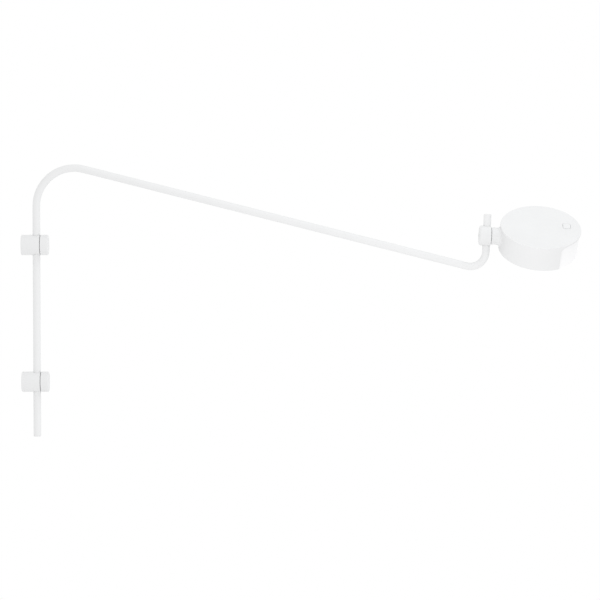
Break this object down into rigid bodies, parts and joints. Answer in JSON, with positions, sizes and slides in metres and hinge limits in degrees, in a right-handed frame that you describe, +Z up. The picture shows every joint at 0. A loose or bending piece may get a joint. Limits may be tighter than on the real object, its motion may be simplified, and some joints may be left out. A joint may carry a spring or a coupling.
{
  "type": "swing arm wall sconce",
  "caption": "White wall lamp: a bent tube turns and slides in two cylindrical brackets and carries a round head that swings and rolls, with an opal light window.",
  "frame": {"origin": "on the wall plane, midway between the two wall screws", "axes": "+Z up along the vertical tube, +X straight out of the wall towards the lamp head, +Y to the left of a person who faces the wall from the lamp side"},
  "size_m": [0.8807, 0.1294, 0.4295],
  "materials": {
    "white_powder_coat": "satin white powder coat",
    "white_cast": "satin white powder coat on turned and cast parts",
    "zinc_steel": "zinc plated steel",
    "nylon": "natural nylon",
    "black_rubber": "matt black",
    "white_plastic": "satin white plastic",
    "aluminium": "plain aluminium sheet",
    "board_white": "white solder mask",
    "board_green": "green solder mask",
    "led_yellow": "phosphor",
    "driver_black": "matt black housing",
    "opal": "opal diffusing plastic, lit",
    "lead": "white sheathed lead"
  },
  "bodies": {
    "wall_brackets": {"upper_wall_boss": "zinc_steel", "lower_wall_boss": "zinc_steel", "upper_bracket_body": "white_cast", "lower_bracket_body": "white_cast", "bracket_grub_screws": "zinc_steel", "upper_tube_liner": "nylon", "lower_tube_liner": "nylon"},
    "upper_plunger": {"upper_clamp_plunger": "nylon"},
    "upper_knob": {"upper_clamp_knob": "white_cast", "upper_knob_ring": "black_rubber"},
    "lower_plunger": {"lower_clamp_plunger": "nylon"},
    "lower_knob": {"lower_clamp_knob": "white_cast", "lower_knob_ring": "black_rubber"},
    "cable_inlet": {"cable_gland": "white_plastic"},
    "arm": {"arm_tube": "white_powder_coat", "arm_end_plug": "white_plastic", "arm_lead": "lead"},
    "swivel": {"swivel_block": "white_cast", "block_liner": "nylon", "tension_screw": "zinc_steel", "wire_bush": "nylon", "friction_washer": "black_rubber", "pivot_nut": "zinc_steel"},
    "head": {"wave_washer": "zinc_steel", "head_shell": "white_powder_coat", "top_plate": "white_powder_coat", "heat_spreader": "aluminium", "led_board": "board_white", "leds": "led_yellow", "led_driver": "driver_black", "driver_clips": "zinc_steel", "board_screws": "zinc_steel", "switch_board": "board_green", "reflector": "white_plastic", "diffuser": "opal", "retaining_ring": "white_plastic", "ring_screws": "zinc_steel", "head_lead": "lead"},
    "button": {"dimmer_button": "white_plastic"}
  },
  "joints": [
    {"name": "upper_clamp_travel", "type": "slide", "parent": "wall_brackets", "child": "upper_plunger", "axis": [1, 0, 0], "range_m": [0, 0.00125]},
    {"name": "upper_knob_turn", "type": "hinge", "parent": "upper_plunger", "child": "upper_knob", "pos_m": [0.038, 0, 0.108], "axis": [1, 0, 0], "range_deg": [0, 360]},
    {"name": "lower_clamp_travel", "type": "slide", "parent": "wall_brackets", "child": "lower_plunger", "axis": [1, 0, 0], "range_m": [0, 0.00125]},
    {"name": "lower_knob_turn", "type": "hinge", "parent": "lower_plunger", "child": "lower_knob", "pos_m": [0.038, 0, -0.108], "axis": [1, 0, 0], "range_deg": [0, 360]},
    {"name": "height_slide", "type": "slide", "parent": "wall_brackets", "child": "cable_inlet", "axis": [0, 0, 1], "range_m": [-0.045, 0.06]},
    {"name": "arm_swing", "type": "hinge", "parent": "cable_inlet", "child": "arm", "pos_m": [0.0236, 0, 0], "axis": [0, 0, 1], "range_deg": [-85, 85]},
    {"name": "head_swing", "type": "hinge", "parent": "arm", "child": "swivel", "pos_m": [0.7326, 0, 0.12254], "axis": [0.0436, 0, 0.999], "range_deg": [-73, 73]},
    {"name": "head_roll", "type": "hinge", "parent": "swivel", "child": "head", "pos_m": [0.7326, 0, 0.12254], "axis": [0.9987, 0.0244, -0.0436], "range_deg": [-121, 59]},
    {"name": "button_press", "type": "slide", "parent": "head", "child": "button", "axis": [-0.05, 0.5149, -0.8558], "range_m": [0, 0.0008], "stiffness_N_per_m": 2500, "springref_m": -0.0004}
  ],
  "couplings": [
    {"joint": "upper_knob_turn", "follows": "upper_clamp_travel", "rad_per_m": 5026.5},
    {"joint": "lower_knob_turn", "follows": "lower_clamp_travel", "rad_per_m": 5026.5}
  ]
}
